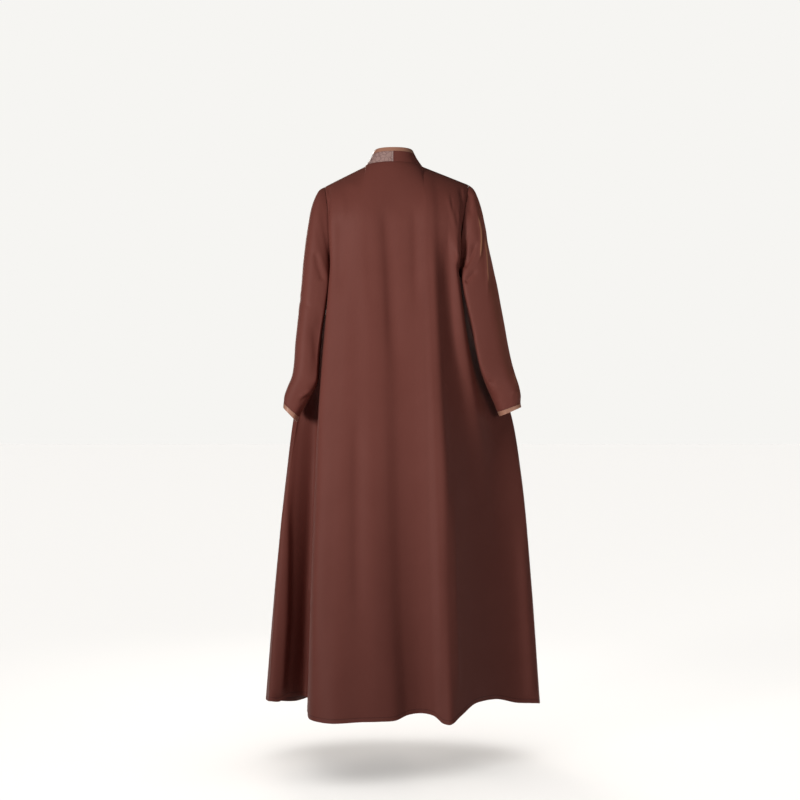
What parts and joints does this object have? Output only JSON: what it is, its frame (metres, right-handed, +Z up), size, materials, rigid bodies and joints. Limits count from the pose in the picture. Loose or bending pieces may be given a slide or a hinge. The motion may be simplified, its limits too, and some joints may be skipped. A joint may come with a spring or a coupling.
{
  "type": "abaya",
  "caption": "Worn, empty open-fronted abaya: flared crepe body, set-in long sleeves, standing neckband running on as front bands, satin edge and cuff bindings.",
  "frame": {"origin": "middle of the neckline between the two high shoulder points, where the shoulder seams meet the neckband", "axes": "+Z up, +Y the way the wearer faces, so the back is towards -Y; +X towards the wearer's right hand"},
  "size_m": [0.7051, 0.5674, 1.4337],
  "materials": {
    "crepe": "matte brown crepe",
    "jacquard": "mauve-taupe jacquard with a low sheen",
    "satin": "taupe satin"
  },
  "bodies": {
    "root": {"back_panel": "crepe", "left_front": "crepe", "right_front": "crepe", "left_sleeve": "crepe", "right_sleeve": "crepe", "left_band": "jacquard", "right_band": "crepe", "edge_binding": "satin", "left_cuff_binding": "satin", "right_cuff_binding": "satin"}
  },
  "joints": []
}
